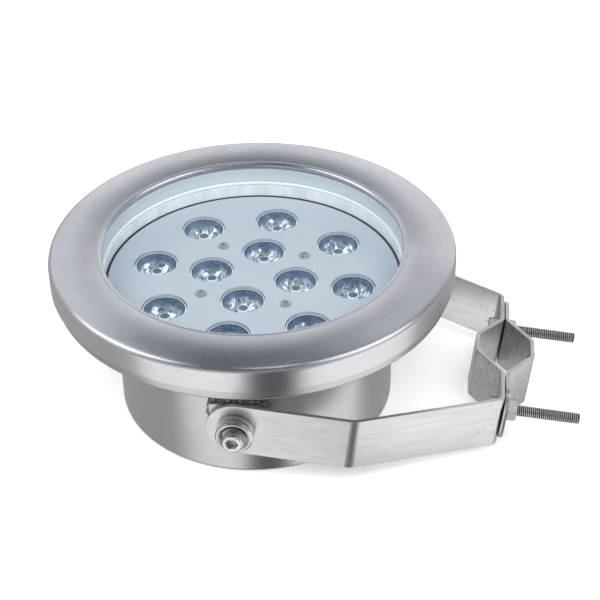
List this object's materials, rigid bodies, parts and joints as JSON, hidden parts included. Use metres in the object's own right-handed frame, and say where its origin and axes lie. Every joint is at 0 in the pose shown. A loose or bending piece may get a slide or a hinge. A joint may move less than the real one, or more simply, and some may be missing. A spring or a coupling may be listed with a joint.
{
  "type": "underwater pond light",
  "caption": "Round stainless steel LED spotlight with a wide bezel and glass window, tilting on a U-shaped yoke that ends in a hexagonal pipe clamp.",
  "frame": {"origin": "middle of the flat bottom of the can, on the lamp's axis", "axes": "+Z along the lamp's axis, the way it shines; +X towards the pipe clamp; Y along the yoke's pivot axis"},
  "size_m": [0.2645, 0.2, 0.0889],
  "materials": {
    "bezel_steel": "brushed round the ring",
    "housing_steel": "satin",
    "fastener_steel": "turned, bright",
    "strip_steel": "mill finish with faint lengthwise brushing",
    "bolt_steel": "rolled thread, slightly dark",
    "zinc_plating": "bright zinc, faintly blue",
    "toughened_glass": "clear, polished",
    "white_silicone": "matt white",
    "liner": "satin, faint upright brushing",
    "cover_plate": "pale blue grey, satin",
    "lens_acrylic": "clear, polished, sparkling",
    "circuit_board": "white solder mask",
    "aluminium": "spun, satin",
    "brass": "turned",
    "potting_plastic": "matt black",
    "nickel_plating": "satin nickel",
    "black_rubber": "matt"
  },
  "bodies": {
    "lamp": {"housing_can": "housing_steel", "housing_tray": "housing_steel", "housing_flange": "housing_steel", "bezel_ring": "bezel_steel", "clamp_ring": "fastener_steel", "bezel_screw_1": "fastener_steel", "bezel_screw_2": "fastener_steel", "bezel_screw_3": "fastener_steel", "bezel_screw_4": "fastener_steel", "bezel_screw_5": "fastener_steel", "bezel_screw_6": "fastener_steel", "front_glass": "toughened_glass", "gasket_upper": "white_silicone", "gasket_lower": "white_silicone", "spacer_ring": "liner", "cover_plate": "cover_plate", "lens_01": "lens_acrylic", "lens_02": "lens_acrylic", "lens_03": "lens_acrylic", "lens_04": "lens_acrylic", "lens_05": "lens_acrylic", "lens_06": "lens_acrylic", "lens_07": "lens_acrylic", "lens_08": "lens_acrylic", "lens_09": "lens_acrylic", "lens_10": "lens_acrylic", "lens_11": "lens_acrylic", "lens_12": "lens_acrylic", "led_board": "circuit_board", "heat_spreader": "aluminium", "standoff_1": "brass", "standoff_2": "brass", "standoff_3": "brass", "standoff_4": "brass", "plate_screw_1": "fastener_steel", "plate_screw_2": "fastener_steel", "plate_screw_3": "fastener_steel", "plate_screw_4": "fastener_steel", "driver_module": "potting_plastic", "driver_lead": "white_silicone", "pivot_boss_near": "housing_steel", "pivot_bush_near": "fastener_steel", "pivot_washer_near": "fastener_steel", "pivot_screw_near": "fastener_steel", "pivot_boss_far": "housing_steel", "pivot_bush_far": "fastener_steel", "pivot_washer_far": "fastener_steel", "pivot_screw_far": "fastener_steel", "gland_body": "nickel_plating", "gland_locknut": "nickel_plating", "gland_seal": "black_rubber", "gland_nut": "nickel_plating"},
    "yoke": {"yoke_bracket": "strip_steel", "clamp_bolt_near": "bolt_steel", "clamp_bolt_far": "bolt_steel"},
    "clamp_half": {"clamp_half": "strip_steel"},
    "nut_near": {"clamp_nut_near": "zinc_plating"},
    "nut_far": {"clamp_nut_far": "zinc_plating"}
  },
  "joints": [
    {"name": "yoke_tilt", "type": "hinge", "parent": "lamp", "child": "yoke", "pos_m": [0, 0, 0.0312], "axis": [0, 1, 0], "range_deg": [-20, 188]},
    {"name": "clamp_open", "type": "slide", "parent": "yoke", "child": "clamp_half", "axis": [0.9951, 0, -0.0993], "range_m": [0, 0.028]},
    {"name": "nut_near_spin", "type": "hinge", "parent": "clamp_half", "child": "nut_near", "pos_m": [0.13065, -0.0328, 0.01816], "axis": [0.9951, 0, -0.0993], "continuous": true},
    {"name": "nut_far_spin", "type": "hinge", "parent": "clamp_half", "child": "nut_far", "pos_m": [0.13065, 0.0328, 0.01816], "axis": [0.9951, 0, -0.0993], "continuous": true}
  ]
}
